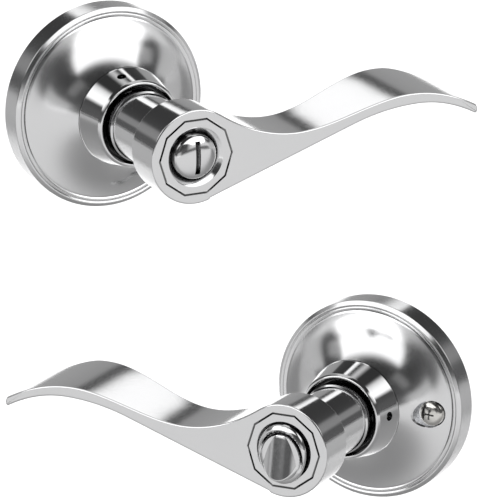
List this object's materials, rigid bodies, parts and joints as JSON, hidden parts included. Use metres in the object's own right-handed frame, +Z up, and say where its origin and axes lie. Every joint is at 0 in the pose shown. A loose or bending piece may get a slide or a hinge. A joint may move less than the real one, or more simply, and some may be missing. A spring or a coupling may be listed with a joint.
{
  "type": "door lever handle",
  "caption": "Polished privacy door lever set off its door: an outside handle with a slotted release button and an inside handle with a thumb-turn, each on a round dished rose.",
  "frame": {"origin": "on the outside handle's spindle axis, in the plane of the door face that its rose rests on", "axes": "+Z up; +Y into the door, so the outside handle faces -Y; +X along the outside lever"},
  "size_m": [0.1623, 0.1274, 0.1807],
  "materials": {
    "chrome": "mirror-polished chrome plate on cast zinc and brass",
    "zinc_steel": "bright zinc-plated steel",
    "spring_steel": "oiled spring steel",
    "brass": "plain turned brass",
    "black_nylon": "matt black moulded nylon"
  },
  "bodies": {
    "door_side": {"outside_rose_cover": "chrome", "outside_collar": "chrome", "outside_mounting_plate": "zinc_steel", "outside_bearing_bush": "black_nylon", "outside_return_spring": "spring_steel", "outside_post_left": "zinc_steel", "outside_post_right": "zinc_steel", "inside_rose_cover": "chrome", "inside_collar": "chrome", "inside_mounting_plate": "zinc_steel", "inside_bearing_bush": "black_nylon", "inside_return_spring": "spring_steel", "inside_screw_near_pinhole": "zinc_steel", "inside_screw_under_lever": "zinc_steel"},
    "outside_turning": {"outside_return_cam": "zinc_steel", "outside_circlip": "spring_steel", "outside_spindle_sleeve": "zinc_steel", "outside_lever": "chrome", "outside_hub_cap": "chrome", "outside_catch_spring": "spring_steel", "outside_spindle": "zinc_steel"},
    "outside_catch": {"outside_lever_catch": "brass"},
    "outside_release": {"outside_release_button": "chrome", "outside_release_rod": "zinc_steel"},
    "inside_turning": {"inside_return_cam": "zinc_steel", "inside_circlip": "spring_steel", "inside_spindle_sleeve": "zinc_steel", "inside_lever": "chrome", "inside_hub_cap": "chrome", "inside_catch_spring": "spring_steel"},
    "inside_catch": {"inside_lever_catch": "brass"},
    "inside_turn": {"inside_thumb_turn": "chrome", "inside_turn_rod": "zinc_steel"}
  },
  "joints": [
    {"name": "outside_lever_turn", "type": "hinge", "parent": "door_side", "child": "outside_turning", "pos_m": [0, 0, 0], "axis": [0, 1, 0], "range_deg": [-50, 50], "stiffness_Nm_per_rad": 2.5, "deforming": ["outside_return_spring"]},
    {"name": "inside_lever_turn", "type": "hinge", "parent": "door_side", "child": "inside_turning", "pos_m": [0.1054, 0.0072, -0.1147], "axis": [-0.8023, -0.5969, 0], "range_deg": [-50, 50], "stiffness_Nm_per_rad": 2.5, "deforming": ["inside_return_spring"]},
    {"name": "outside_catch_slide", "type": "slide", "parent": "outside_turning", "child": "outside_catch", "axis": [-0.225, 0, 0.9744], "range_m": [-0.0026, 0], "stiffness_N_per_m": 600, "springref_m": 0.001},
    {"name": "inside_catch_slide", "type": "slide", "parent": "inside_turning", "child": "inside_catch", "axis": [0.5961, -0.8012, 0.0523], "range_m": [-0.0026, 0], "stiffness_N_per_m": 600, "springref_m": 0.001},
    {"name": "release_button_turn", "type": "hinge", "parent": "outside_turning", "child": "outside_release", "pos_m": [0, 0, 0], "axis": [0, 1, 0], "range_deg": [0, 90]},
    {"name": "thumb_turn_turn", "type": "hinge", "parent": "inside_turning", "child": "inside_turn", "pos_m": [0.1054, 0.0072, -0.1147], "axis": [-0.8023, -0.5969, 0], "range_deg": [0, 90]}
  ]
}
